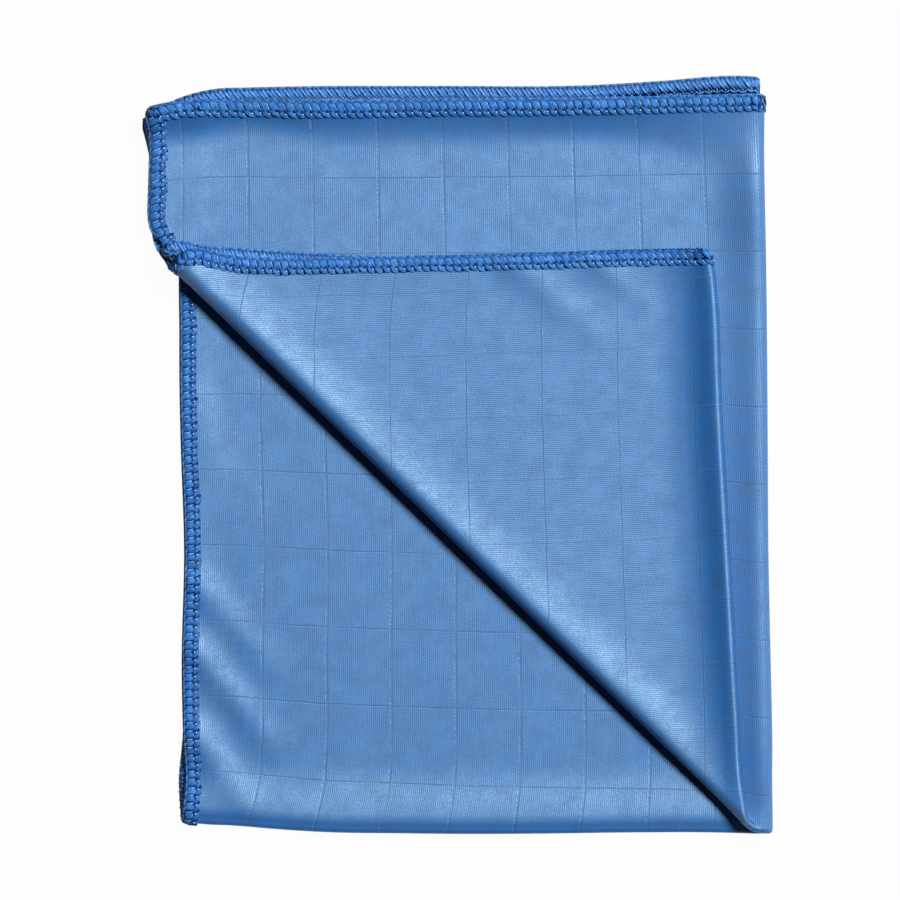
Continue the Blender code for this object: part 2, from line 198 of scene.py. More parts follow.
# Soft ridges: the layer that carries them, both ends of the crest, half width and height.
ridges = (
    {"on": "lowerInner", "start": (-87.6, -42.5), "end": (-58.0, -76.0), "halfWidth": 4.2, "height": 1.3},
    {"on": "lowerInner", "start": (-88.0, -64.5), "end": (-58.0, -102.5), "halfWidth": 4.3, "height": 1.8},
    {"on": "lowerInner", "start": (-87.6, -93.0), "end": (-66.0, -124.0), "halfWidth": 4.2, "height": 1.8},
    {"on": "lowerInner", "start": (-90.0, 16.0), "end": (-66.0, -36.0), "halfWidth": 8.0, "height": 0.6},
    {"on": "lowerInner", "start": (-50.0, -123.5), "end": (120.0, -122.5), "halfWidth": 9.0, "height": 0.3},
    {"on": "upperInner", "start": (18.0, 63.0), "end": (50.0, 38.0), "halfWidth": 4.0, "height": 0.8},
    {"on": "upperInner", "start": (44.0, 65.0), "end": (67.0, 47.0), "halfWidth": 3.4, "height": 0.75},
    {"on": "upperInner", "start": (70.0, -92.0), "end": (-5.0, -19.0), "halfWidth": 6.0, "height": 0.8},
    {"on": "upperOuter", "start": (-103.0, 117.0), "end": (-97.0, 113.0), "halfWidth": 4.0, "height": 2.2},
)

# Power by which a ridge dies away towards its end.
ridgeFade = 0.6

# How the upper pair lies on the lower one: how far from the second fold both share one height, how far
# before it the upper pair starts to come down, and how far its left hem hangs. A layer that faces up this
# much carries its ridges in full.
overlay = {
    "share": 20.0,
    "bend": 14.0,
    "leftDrop": 1.8,
    "leftFrom": -99.5,
    "leftReach": 5.5,
    "facingUp": 0.95,
}

# Lines of the flat grid, by distance from the folds and from the cut edges; how near to a roll line a face
# is cut by it; and where the hem's colour ends, with its painted shade, and over what width.
grid = {
    "fold": (0.0, 0.5, 1.0, 1.5, 2.0, 2.6, 3.2, 3.9, 5.0, 7.0),
    "crease": (0.0, 0.35, 0.7, 1.05, 1.4, 1.8, 2.2, 2.7, 3.5, 5.0, 7.0),
    "hem": (0.25, 0.7, 1.6, 2.7, 3.9, 4.6, 5.3, 6.0),
    "spacing": 3.3,
    "rollSteps": 13,
    "pastRoll": (1.6, 3.6),
    "rollReach": 3.5,
    "cornerCuts": (11.0, 33.5, 56.5, 79.0),
    "merge": 0.04,
    "cutTolerance": 1e-4,
    "hemColourAndShade": (4.6, 0.8),
}

# Woven lines in each of the four panels: the first line and the spacing across and along the cloth, how far
# the lines lean, the place they lean from, their curl near the crease and the strength of the upright ones.
panes = {
    "lowerOuter": {"across": (19.06, 21.6), "along": (12.74, 25.8), "lean": (0.0, 0.0),
                   "leanFrom": (100.0, 100.0), "curl": 0.0, "upright": 0.8},
    "lowerInner": {"across": (19.06, 21.6), "along": (16.64, 25.95), "lean": (0.0, 0.027),
                   "leanFrom": (100.0, 60.0), "curl": 6.0, "upright": 0.75},
    "upperInner": {"across": (20.36, 21.5), "along": (10.56, 25.95), "lean": (-0.012, -0.018),
                   "leanFrom": (140.0, 50.0), "curl": 1.6, "upright": 0.25},
    "upperOuter": {"across": (19.76, 21.63), "along": (12.74, 25.8), "lean": (0.03, 0.0),
                   "leanFrom": (100.0, 213.0), "curl": 0.0, "upright": 0.8},
}
panelNames = ("lowerOuter", "lowerInner", "upperInner", "upperOuter")

# The count of woven lines starts here, and the curl fades along and grows across the cloth.
lineCount = {
    "across": 12.0,
    "along": 14.0,
    "curlAlong": 45.0,
    "curlAcross": 200.0,
}


def ease(t):
    t = np.clip(t, 0.0, 1.0)
    return t * t * (3.0 - 2.0 * t)


def curve(at, keys, values):
    keys = np.asarray(keys)
    values = np.asarray(values)
    slopes = np.gradient(values, keys)
    at = np.clip(at, keys[0], keys[-1])
    low = np.clip(np.searchsorted(keys, at) - 1, 0, len(keys) - 2)
    span = keys[low + 1] - keys[low]
    t = (at - keys[low]) / span
    rise = t * t * (3.0 - 2.0 * t)
    start = t * (1.0 - t) * (1.0 - t) * span * slopes[low]
    finish = t * t * (t - 1.0) * span * slopes[low + 1]
    return values[low] * (1.0 - rise) + values[low + 1] * rise + start + finish


def column(table, key, name, at):
    return curve(at, table[key], table[name])


def byLayer(u, v, table, key, at):
    lower = np.where(v >= 0.0, column(table, key, "lowerOuter", at), column(table, key, "lowerInner", at))
    upper = np.where(v >= 0.0, column(table, key, "upperOuter", at), column(table, key, "upperInner", at))
    return np.where(u < 0.0, lower, upper)


def flatWidth(u):
    return np.where(u < 0.0, cloth["lowerWidth"], cloth["upperWidth"])


def flatLength(v):
    return np.where(v < 0.0, cloth["innerLength"], cloth["outerLength"])


def edgeDistance(u, v):
    # Distance from the cut edge of the flat sheet, whose corners are rounded.
    side = flatWidth(u) - abs(u)
    end = flatLength(v) - abs(v)
    radius = cloth["cornerRound"]
    corner = radius - np.hypot(radius - side, radius - end)
    return np.where((side < radius) & (end < radius), corner, np.minimum(side, end))


def hemShare(u, side, end):
    # How much of the hem's extra height the sheet carries at a distance from the side and end hems.
    start = hemFall["start"]
    reach = curve(u, hemFall["across"], hemFall["reach"])
    fromEnd = np.clip(1.0 - (end - start) / (reach - start), 0.0, 1.0) ** hemFall["curve"]
    fromSide = 1.0 - ease((side - start) / (hemFall["sideReach"] - start))
    return np.maximum(fromEnd, fromSide)


def foldRadius(y):
    return column(rightEdge, "y", "radius", y)


def foldCentre(y):
    return column(rightEdge, "y", "outline", y) - roll["skin"] - foldRadius(y)


def creaseRadius(u):
    share = ease((u + crest["lowerFade"]) / crest["lowerFade"])
    lower = crest["lowerRadius"] + (crest["radius"][0] - crest["lowerRadius"]) * share
    return np.where(u < 0.0, lower, curve(u, crest["across"], crest["radius"]))


def lowerState(u, x, y):
    # Share of the hem's height in the lower pair, and half the gap between its layers.
    hem = hemShare(u, x - cloth["lowerLeft"], cloth["topNominal"] - y)
    past = y - column(creaseLine, "x", "lower", x)
    opening = 1.0 - ease((past - crest["lowerFrom"]) / crest["lowerReach"])
    gap = cloth["halfGap"]
    return hem, gap + np.maximum((cloth["hemHalfGap"] - gap) * hem, (crest["lowerRadius"] - gap) * opening)


def upperHalfGap(u, x, y):
    hem = hemShare(u, x - cloth["upperLeft"], cloth["topNominal"] - y)
    past = y - column(creaseLine, "x", "upper", x)
    opening = 1.0 - ease((past - crest["upperFrom"]) / crest["upperGapReach"])
    gap = cloth["halfGap"]
    return gap + np.maximum((cloth["hemHalfGap"] - gap) * hem, crest["upperGap"] * opening)


def ridgeHeight(name, x, y):
    total = np.zeros_like(x)
    for ridge in ridges:
        if ridge["on"] != name:
            continue
        start = np.array(ridge["start"])
        run = np.array(ridge["end"]) - start
        share = np.clip(((x - start[0]) * run[0] + (y - start[1]) * run[1]) / run.dot(run), 0.0, 1.0)
        away = np.hypot(x - start[0] - share * run[0], y - start[1] - share * run[1])
        total += ridge["height"] * np.exp(-((away / ridge["halfWidth"]) ** 2)) * (1.0 - share) ** ridgeFade
    return total


def puffHeight(u, x, y, past, end, offset):
    # Height of the puffed folds: past is how far a point is from the crease of the first fold.
    crease = curve(u, puff["creaseAcross"], puff["creaseHeight"])
    share = np.clip(1.0 - (past - puff["creaseFrom"]) / puff["creaseReach"], 0.0, 1.0)
    fold = curve(y, puff["foldY"], puff["foldHeight"])
    away = foldCentre(y) - x - puff["foldFrom"]
    foldShare = np.clip(1.0 - away / puff["foldReach"], 0.0, 1.0)
    # The top layer stands highest at its end hem.
    start = hemFall["start"]
    run = (end - start) / (curve(u, hemFall["across"], hemFall["reach"]) - start)
    hemHeight = curve(u, puff["hemAcross"], puff["hemHeight"])
    stand = hemHeight * np.clip(1.0 - run, 0.0, 1.0) ** puff["hemCurve"]
    stand = np.where(run < 0.0, hemHeight, stand)
    return np.where(offset < 0.0, crease * share * share, fold * foldShare * foldShare + stand)


def rollAxes():
    start = np.array(roll["start"])
    along = np.array(roll["stop"]) - start
    along = along / np.linalg.norm(along)
    return start, along, np.array((along[1], -along[0]))


def turnFlap(u, x, y, halfGap, hem):
    # Third fold: bends the upper pair over the diagonal and lets the flap settle.
    start, along, across = rollAxes()
    run = (x - start[0]) * along[0] + (y - start[1]) * along[1]
    radius = np.interp(run, roll["runs"], roll["radii"])
    past = (x - start[0]) * across[0] + (y - start[1]) * across[1] + radius + roll["skin"]
    angle = np.clip(past / radius, 0.0, np.pi)
    after = np.maximum(past - np.pi * radius, 0.0)
    reach = np.where(past > 0.0, radius * np.sin(angle) - after, past) - radius - roll["skin"]
    newX = start[0] + run * along[0] + reach * across[0]
    newY = start[1] + run * along[1] + reach * across[1]
    rest = upperHalfGap(u, newX, newY) + cloth["pitch"] + cloth["hemLift"] * hem + halfGap
    slid = after * after / (after + roll["settleFrom"])
    settled = curve(slid, roll["settleAt"], roll["settled"])
    height = radius * (1.0 - np.cos(angle)) + (rest - 2.0 * radius) * settled
    # The roll lies close on the layers under it.
    height -= roll["sink"] * (1.0 - ease(abs(reach) / roll["sinkReach"]))
    return newX, newY, height


def upperSurface(u, x, y, halfGap, hem):
    x, y, height = turnFlap(u, x, y, halfGap, hem)
    lowerHem, lowerGap = lowerState(u, x, y)
    near = 1.0 - ease(u / overlay["share"])
    lowerHem = lowerHem + (hem - lowerHem) * near
    lowerGap = lowerGap + (np.minimum(halfGap, crest["radius"][0]) - lowerGap) * near
    base = 0.5 * cloth["solidSheet"] + cloth["hemLift"] * lowerHem + lowerGap
    centre = foldCentre(y)
    radius = foldRadius(y)
    openHeight = base + lowerGap + cloth["pitch"] + (cloth["hemPitch"] - cloth["pitch"]) * lowerHem
    openHeight += upperHalfGap(u, x, y)
    openHeight += (base + 2.0 * radius - openHeight) * (1.0 - ease((centre - x) / overlay["bend"]))
    openHeight -= overlay["leftDrop"] * ease((overlay["leftFrom"] - x) / overlay["leftReach"])
    angle = np.maximum((x - centre) / radius, 0.0)
    bentX = np.where(x < centre, x, centre + (radius + height) * np.sin(angle))
    bentZ = np.where(x < centre, openHeight + height, base + radius + (radius + height) * np.cos(angle))
    return np.stack((bentX, y, bentZ), axis=-1)


def unit(vectors):
    return vectors / np.linalg.norm(vectors, axis=-1, keepdims=True)


def bendCrease(here, normal, back, offset, halfGap, turn, crease):
    # First fold: the sheet turns over from one layer of the pair to the other.
    out = np.sin(turn)[:, None] * normal * offset[:, None] - np.cos(turn)[:, None] * back
    reach = np.where(turn < 0.5 * np.pi, crease, halfGap)
    return here + out * reach[:, None], out


def placeUpper(u, x, y, past, end, offset, halfGap, hem, turn, crease):
    step = 0.02
    here = upperSurface(u, x, y, halfGap, hem)
    inX = upperSurface(u, x + step, y, halfGap, hem) - here
    inY = upperSurface(u, x, y + step, halfGap, hem) - here
    normal = unit(np.cross(inX, inY))
    centres, out = bendCrease(here, normal, unit(inY), offset, halfGap, turn, crease)
    # The uppermost layer carries the soft ridges: the flap's, or the strip's where no flap lies.
    up = ease(out[:, 2] / overlay["facingUp"])
    inner = ridgeHeight("upperInner", centres[:, 0], centres[:, 1])
    outer = ridgeHeight("upperOuter", centres[:, 0], centres[:, 1])
    lift = np.where(offset < 0.0, inner, outer) + puffHeight(u, x, y, past, end, offset)
    centres[:, 2] += up * lift
    # At the right end of the top edge the rear hem stands up behind the front one.
    start = curve(u, standing["across"], standing["start"])
    stand = curve(u, standing["across"], standing["height"]) * ease((start - end) / standing["reach"])
    centres[:, 2] += np.where(offset < 0.0, stand, 0.0)
    return centres, out


def placeLower(v, x, y, past, offset, halfGap, hem, turn, crease, thickness):
    centre = foldCentre(y)
    radius = foldRadius(y)
    angle = np.clip((x - centre) / radius, 0.0, 0.5 * np.pi)
    base = 0.5 * cloth["solidSheet"] + cloth["hemLift"] * hem + halfGap
    flat = 1.0 - angle / (0.5 * np.pi)
    middleX = np.where(x < centre, x, centre + radius * np.sin(angle))
    middleZ = base + radius * (1.0 - np.cos(angle))
    middleZ += np.where(v >= 0.0, (0.5 * thickness - base + halfGap) * flat, 0.0)
    normal = np.stack((np.sin(angle), np.zeros_like(angle), -np.cos(angle)), axis=-1)
    back = np.zeros_like(normal)
    back[:, 1] = 1.0
    middle = np.stack((middleX, y, middleZ), axis=-1)
    centres, out = bendCrease(middle, normal, back, offset, halfGap, turn, crease)
    lift = ridgeHeight("lowerInner", x, y) * np.sin(turn)
    # The top layer comes down in a soft curve to the crease at the bottom.
    lift -= crest["rimDrop"] * np.clip(1.0 - past / crest["rimReach"], 0.0, 1.0) ** 2 * np.sin(turn)
    centres[:, 2] += np.where(v < 0.0, lift, 0.0)
    return centres, out


def hemPull(u, v):
    # How far the roll pulls the upper pair's left hem sideways, fading into the sheet.
    y = cloth["bottomNominal"] + abs(v)
    start, stop = hemShift["reach"]
    pull = np.where(v >= 0.0, column(hemShift, "y", "outer", y), column(hemShift, "y", "inner", y))
    return np.where(u > 0.0, pull * (1.0 - ease((flatWidth(u) - abs(u) - start) / (stop - start))), 0.0)


def spread(u, v):
    # Flat points laid out over the photo's plane, before the folds are bent.
    flatX = cloth["rightNominal"] - abs(u)
    flatY = cloth["bottomNominal"] + abs(v)
    right = foldCentre(flatY) + 0.5 * np.pi * foldRadius(flatY)
    x = right + (byLayer(u, v, leftEdge, "y", flatY) - right) * abs(u) / flatWidth(u)
    x += hemPull(u, v)
    crease = creaseRadius(u)
    lowerOutline = column(creaseLine, "x", "lower", flatX)
    outline = np.where(u < 0.0, lowerOutline, column(creaseLine, "x", "upper", flatX))
    bottom = outline + 0.5 * cloth["solidSheet"] + (1.0 - 0.5 * np.pi) * crease
    y = bottom + (byLayer(u, v, topEdge, "x", flatX) - bottom) * abs(v) / flatLength(v)
    return x, y, bottom, crease


def place(u, v):
    # Folded place of flat points: sheet centre, direction of the right side, thickness shown.
    x, y, bottom, crease = spread(u, v)
    turn = np.clip((y - bottom) / crease, 0.0, 0.5 * np.pi)
    centreY = bottom + 0.5 * np.pi * crease
    y = np.maximum(y, centreY)
    edge = edgeDistance(u, v)
    hem = hemShare(u, flatWidth(u) - abs(u), flatLength(v) - abs(v))
    gap = cloth["halfGap"]
    past = y - centreY
    upperOpen = np.clip(1.0 - past / crest["upperReach"], 0.0, 1.0) ** crest["upperCurve"]
    lowerOpen = 1.0 - ease(past / crest["lowerReach"])
    opening = (crease - gap) * np.where(u < 0.0, lowerOpen, upperOpen)
    halfGap = gap + np.maximum((cloth["hemHalfGap"] - gap) * hem, opening)
    offset = np.where(v >= 0.0, 1.0, -1.0)
    thickness = np.interp(edge, *zip(*solidProfile))
    lower = placeLower(v, x, y, past, offset, halfGap, hem, turn, crease, thickness)
    end = flatLength(v) - abs(v)
    upper = placeUpper(u, x, y, past, end, offset, halfGap, hem, turn, crease)
    isLower = (u < 0.0)[:, None]
    centres = np.where(isLower, lower[0], upper[0])
    centres -= (*cloth["centreShift"], 0.0)
    out = unit(np.where(isLower, lower[1], upper[1]))
    return centres, out, np.interp(edge, *zip(*shownProfile))


def spaced(start, stop, spacing):
    steps = max(int(round((stop - start) / spacing)), 1)
    return [start + (stop - start) * step / steps for step in range(1, steps)]


def gridLines(length, near):
    lines = list(near) + spaced(near[-1], length - grid["hem"][-1], grid["spacing"])
    return lines + [length - line for line in reversed(grid["hem"])] + [length]


def signedLines(lowSide, highSide, near):
    low = [-line for line in reversed(gridLines(lowSide, near))]
    return np.array(low[:-1] + gridLines(highSide, near))


def cutLine(flat, point, normal, faces=None, clear=False):
    if faces is None:
        geometry = list(flat.verts) + list(flat.edges) + list(flat.faces)
    else:
        geometry = list({vert for face in faces for vert in face.verts})
        geometry += list({edge for face in faces for edge in face.edges}) + faces
    bmesh.ops.bisect_plane(
        flat, geom=geometry, dist=grid["cutTolerance"], plane_co=(*point, 0.0),
        plane_no=(*normal, 0.0), clear_outer=clear
    )


def flatSheet():
    # The flat cut as a grid, with its four rounded corners; a face's material number is its panel.
    across = signedLines(cloth["lowerWidth"], cloth["upperWidth"], grid["fold"])
    along = signedLines(cloth["innerLength"], cloth["outerLength"], grid["crease"])
    flat = bmesh.new()
    rows = [[flat.verts.new((u, v, 0.0)) for u in across] for v in along]
    nearZero = 1e-6
    for low, high, v in zip(rows, rows[1:], along):
        for cell, u in enumerate(across[:-1]):
            face = flat.faces.new((low[cell], low[cell + 1], high[cell + 1], high[cell]))
            inner = 0 if v > -nearZero else 1
            face.material_index = 3 - inner if u > -nearZero else inner
    radius = cloth["cornerRound"]
    for u in (-cloth["lowerWidth"], cloth["upperWidth"]):
        for v in (-cloth["innerLength"], cloth["outerLength"]):
            middle = (u - np.sign(u) * radius, v - np.sign(v) * radius)
            for degrees in grid["cornerCuts"]:
                turn = np.radians(degrees)
                out = (np.sign(u) * np.cos(turn), np.sign(v) * np.sin(turn))
                cutLine(flat, (middle[0] + radius * out[0], middle[1] + radius * out[1]), out, clear=True)
    return flat


def addRollLines(flat):
    # Lines along the roll, cut while the upper pair's cells lie as they do before the roll is bent.
    start, along, across = rollAxes()
    keep = flat.verts.layers.float_vector.new("flat")
    points = np.array([vert.co[:2] for vert in flat.verts])
    laid = spread(points[:, 0], points[:, 1])
    for vert, x, y in zip(flat.verts, laid[0], laid[1]):
        vert[keep] = vert.co
        vert.co = (x, y, 0.0)
    stations = [(step / grid["rollSteps"], 0.0) for step in range(grid["rollSteps"] + 1)]
    stations += [(1.0, beyond) for beyond in grid["pastRoll"]]
    for share, beyond in stations:
        ends = []
        for run, radius in zip(roll["runs"], roll["radii"]):
            past = share * np.pi * radius + beyond - radius - roll["skin"]
            ends.append(start + run * along + past * across)
        normal = Vector((ends[1][1] - ends[0][1], ends[0][0] - ends[1][0], 0.0)).normalized()
        origin = Vector((*ends[0], 0.0))
        for panel in (2, 3):
            faces = []
            for face in flat.faces:
                away = abs((face.calc_center_median() - origin).dot(normal))
                if face.material_index == panel and away < grid["rollReach"]:
                    faces.append(face)
            cutLine(flat, ends[0], normal[:2], faces)
    for vert in flat.verts:
        vert.co = vert[keep]


def newObject(name, points, faces, material):
    mesh = bpy.data.meshes.new(name)
    mesh.from_pydata(points, [], faces)
    mesh.materials.append(material)
    mesh.shade_smooth()
    piece = bpy.data.objects.new(name, mesh)
    bpy.context.scene.collection.objects.link(piece)
    return piece


def makeSheet(material):
    flat = flatSheet()
    addRollLines(flat)
    bmesh.ops.remove_doubles(flat, verts=flat.verts, dist=grid["merge"])
    bmesh.ops.triangulate(flat, faces=[face for face in flat.faces if len(face.verts) > 4])
    flat.verts.index_update()
    points = np.array([vert.co[:2] for vert in flat.verts])
    faces = [tuple(vert.index for vert in face.verts) for face in flat.faces]
    panels = [face.material_index for face in flat.faces]
    rim = []
    for edge in flat.edges:
        if edge.is_boundary:
            loop = edge.link_loops[0]
            rim.append((loop.vert.index, loop.link_loop_next.vert.index, loop.face.material_index))
    flat.free()
    centres, out, thickness = place(points[:, 0], points[:, 1])
    count = len(points)
    front = centres + 0.5 * thickness[:, None] * out
    rear = centres - 0.5 * thickness[:, None] * out
    allFaces = [face[::-1] for face in faces] + [tuple(index + count for index in face) for face in faces]
    allPanels = panels + panels + [panel for a, b, panel in rim]
    allFaces += [(a, b, b + count, a + count) for a, b, panel in rim]
    piece = newObject("microfibreSheet", np.concatenate((front, rear)) * millimetre, allFaces, material)
    mapPanes(piece, np.concatenate((points, points)), allPanels)
    # The hem colour: the fabric under the stitches, with painted shade in their gaps and along their inner
    # edge.
    hem = piece.data.attributes.new("hem", "FLOAT", "POINT")
    start, reach = grid["hemColourAndShade"]
    edge = edgeDistance(points[:, 0], points[:, 1])
    hem.data.foreach_set("value", np.tile(1.0 - ease((edge - start) / reach), 2).astype(np.float32))
    return piece


def mapPanes(piece, flatPoints, panels):
    # A UV map that counts woven lines across and along the cloth, each panel by its own lines.
    uvMap = piece.data.uv_layers.new(name="weave")
    corners = np.empty(len(piece.data.loops), dtype=np.int64)
    piece.data.loops.foreach_get("vertex_index", corners)
    sizes = np.empty(len(piece.data.polygons), dtype=np.int64)
    piece.data.polygons.foreach_get("loop_total", sizes)
    panel = np.repeat(np.array(panels), sizes)
    values = np.empty((len(corners), 2))
    strength = np.empty(len(panels))
    for index, name in enumerate(panelNames):
        table = panes[name]
        mine = panel == index
        across = abs(flatPoints[corners[mine], 0]) - hemPull(*flatPoints[corners[mine]].T)
        along = abs(flatPoints[corners[mine], 1])
        curl = table["curl"] * np.clip(1.0 - along / lineCount["curlAlong"], 0.0, 1.0) ** 2
        curl = curl * across / lineCount["curlAcross"]
        shiftAcross = table["lean"][0] * (along - table["leanFrom"][1]) + curl
        shiftAlong = table["lean"][1] * (across - table["leanFrom"][0])
        acrossLines = (across - shiftAcross - table["across"][0]) / table["across"][1]
        alongLines = (along - shiftAlong - table["along"][0]) / table["along"][1]
        values[mine, 0] = acrossLines + lineCount["across"]
        values[mine, 1] = alongLines + lineCount["along"] * (1 + index % 2)
        strength[np.array(panels) == index] = table["upright"]
    uvMap.data.foreach_set("uv", values.ravel().astype(np.float32))
    upright = piece.data.attributes.new("uprightLines", "FLOAT", "FACE")
    upright.data.foreach_set("value", strength.astype(np.float32))


# Overlock stitches, in millimetres. Each strand is a tube through rows of place along the hem, distance
# from the cut edge, height over the cloth, half width and half height. A tone below zero is painted
# shade, and the brightest tones are painted highlight.
stitch = {
    "pitch": 2.8,
    "front": {
        # Painted shade: a dark underlay that shows between the bars where their shade falls.
        "paintedShadeBed": {"shape": "slab", "tone": -0.12, "rows": (
            (0.0, 0.2, 0.03, 1.45, 0.06), (0.0, 2.6, 0.03, 1.45, 0.06), (0.0, 5.25, 0.0, 1.4, 0.06),
        )},
        "bar": {"shape": "pillow", "tone": 0.56, "rows": (
            (-1.15, 0.05, -0.5, 1.4, 0.1), (-1.15, 0.5, -0.26, 1.46, 0.2), (-1.1, 1.2, 0.0, 1.5, 0.28),
            (-0.95, 2.0, 0.12, 1.42, 0.27), (-0.6, 2.9, 0.04, 1.1, 0.22), (-0.4, 3.5, -0.1, 0.6, 0.1),
        )},
        # Painted highlight: a thin strand painted brighter where the threads between the bars catch the
        # light.
        "streak": {"shape": "thread", "tone": 1.08, "rows": (
            (-0.1, 0.8, 0.1, 0.16, 0.1), (0.05, 1.5, 0.28, 0.26, 0.16), (0.3, 2.3, 0.3, 0.26, 0.16),
            (0.62, 3.1, 0.12, 0.14, 0.1),
        )},
        "edgeRope": {"shape": "thread", "tone": 0.55, "rows": (
            (-1.5, 0.2, 0.1, 0.26, 0.12), (0.0, 0.3, 0.2, 0.32, 0.16), (1.5, 0.4, 0.1, 0.26, 0.12),
        )},
        "lobe": {"shape": "pillow", "tone": 0.5, "rows": (
            (-2.0, 3.2, 0.0, 0.5, 0.1), (-1.5, 3.9, 0.12, 0.66, 0.16), (-0.8, 4.55, 0.16, 0.72, 0.18),
            (0.0, 4.95, 0.12, 0.6, 0.15), (0.75, 5.15, -0.04, 0.28, 0.08),
        )},
        # Painted shade: a dark strand where the gap beside each bar lies in shade.
        "paintedShadeComma": {"shape": "thread", "tone": -0.18, "rows": (
            (-0.15, 2.8, 0.16, 0.14, 0.08), (0.3, 3.35, 0.24, 0.22, 0.1), (0.72, 4.0, 0.24, 0.25, 0.1),
            (1.1, 4.75, 0.14, 0.12, 0.08),
        )},
        # Painted highlight: the needle thread's bead, painted near white for its glint.
        "needleBeadGlint": {"shape": "thread", "tone": 1.8, "rows": (
            (-0.16, 3.9, 0.26, 0.2, 0.12), (0.0, 4.12, 0.38, 0.31, 0.2), (0.16, 4.34, 0.26, 0.2, 0.12),
        )},
    },
    "rear": {
        # Painted shade: a dark underlay that shows between the bars where their shade falls.
        "paintedShadeBed": {"shape": "slab", "tone": 0.05, "rows": (
            (0.0, 0.2, 0.03, 1.45, 0.06), (0.0, 2.6, 0.03, 1.45, 0.06), (0.0, 5.25, 0.0, 1.4, 0.06),
        )},
        "edgeRope": {"shape": "thread", "tone": 0.7, "rows": (
            (1.5, 0.05, -0.1, 0.5, 0.2), (0.0, 0.08, -0.06, 0.52, 0.22), (-1.5, 0.05, -0.1, 0.5, 0.2),
        )},
        "firstBar": {"shape": "thread", "tone": 0.62, "rows": (
            (2.3, 0.3, 0.0, 0.4, 0.12), (1.8, 1.1, 0.12, 0.64, 0.22), (1.1, 2.0, 0.18, 0.68, 0.24),
            (0.3, 3.0, 0.16, 0.62, 0.2), (-0.4, 3.8, 0.0, 0.35, 0.12),
        )},
        "secondBar": {"shape": "thread", "tone": 0.5, "rows": (
            (1.0, 0.3, 0.0, 0.4, 0.12), (0.5, 1.1, 0.12, 0.64, 0.2), (-0.2, 2.0, 0.18, 0.68, 0.22),
            (-0.9, 3.0, 0.16, 0.62, 0.2), (-1.4, 3.8, 0.0, 0.35, 0.12),
        )},
        # Painted highlight: two thin arms painted brighter where each leaf catches the light.
        "firstArmHighlight": {"shape": "thread", "tone": 1.25, "rows": (
            (2.2, 0.9, 0.16, 0.14, 0.1), (1.6, 1.8, 0.36, 0.22, 0.15), (0.9, 2.6, 0.36, 0.22, 0.15),
            (0.2, 3.3, 0.16, 0.14, 0.1),
        )},
        "secondArmHighlight": {"shape": "thread", "tone": 1.1, "rows": (
            (0.7, 0.7, 0.16, 0.16, 0.12), (0.45, 1.4, 0.34, 0.24, 0.18), (0.0, 2.2, 0.36, 0.25, 0.18),
            (-0.5, 2.9, 0.18, 0.16, 0.12),
        )},
        "loop": {"shape": "thread", "tone": 0.72, "rows": (
            (0.9, 3.95, 0.0, 0.3, 0.12), (0.35, 4.4, 0.12, 0.5, 0.2), (-0.4, 4.75, 0.16, 0.56, 0.22),
            (-1.2, 4.6, 0.1, 0.5, 0.2), (-1.8, 4.1, 0.0, 0.3, 0.12),
        )},
        # Painted highlight: the needle thread's bead, painted near white for its glint.
        "needleBeadGlint": {"shape": "thread", "tone": 1.5, "rows": (
            (-0.4, 3.5, 0.2, 0.14, 0.1), (-0.58, 3.75, 0.3, 0.22, 0.16), (-0.75, 4.0, 0.2, 0.14, 0.1),
        )},
    },
    "pillow": ((-1.0, -0.4), (-0.94, 0.4), (-0.6, 0.9), (0.0, 1.0), (0.6, 0.9), (0.94, 0.4), (1.0, -0.4)),
    "thread": ((-0.9, -0.4), (-0.65, 0.65), (0.0, 1.0), (0.65, 0.65), (0.9, -0.4)),
    "slab": ((-1.0, -1.0), (-1.0, 1.0), (1.0, 1.0), (1.0, -1.0)),
    "inset": 2.2,
    "jitter": 0.05,
    "scaleJitter": 0.03,
    "toneJitter": 0.07,
    "stretch": (0.7, 1.5),
    "floor": 0.12,
    "pressed": 0.15,
    "seed": 11,
}


def hemRuns():
    # The four hems: flat point of a place along the hem and a distance from its edge.
    low, high = -cloth["lowerWidth"], cloth["upperWidth"]
    bottom, top = -cloth["innerLength"], cloth["outerLength"]
    inset = stitch["inset"]
    yield bottom + inset, top - inset, lambda along, edge: (low + edge, -along + (top + bottom))
    yield bottom + inset, top - inset, lambda along, edge: (high - edge, along)
    yield low + inset, high - inset, lambda along, edge: (along, bottom + edge)
    yield low + inset, high - inset, lambda along, edge: (-along + (low + high), top - edge)


def onHem(toFlat, along, edge, side):
    # Places on the cloth's surface, with the surface's own upright direction there.
    def centresAt(alongStep, edgeStep):
        u, v = np.broadcast_arrays(*toFlat(along + alongStep, edge + edgeStep))
        return place(u.ravel(), v.ravel())

    centres, out, thickness = centresAt(0.0, 0.0)
    out = out * side
    step = 0.3
    upright = np.cross(centresAt(step, 0.0)[0] - centres, centresAt(0.0, step)[0] - centres)
    upright = unit(upright) * np.sign(np.sum(upright * out, axis=-1, keepdims=True))
    surface = centres + 0.5 * thickness[:, None] * unit(out + upright)
    return surface.reshape(*along.shape, 3), upright.reshape(*along.shape, 3)


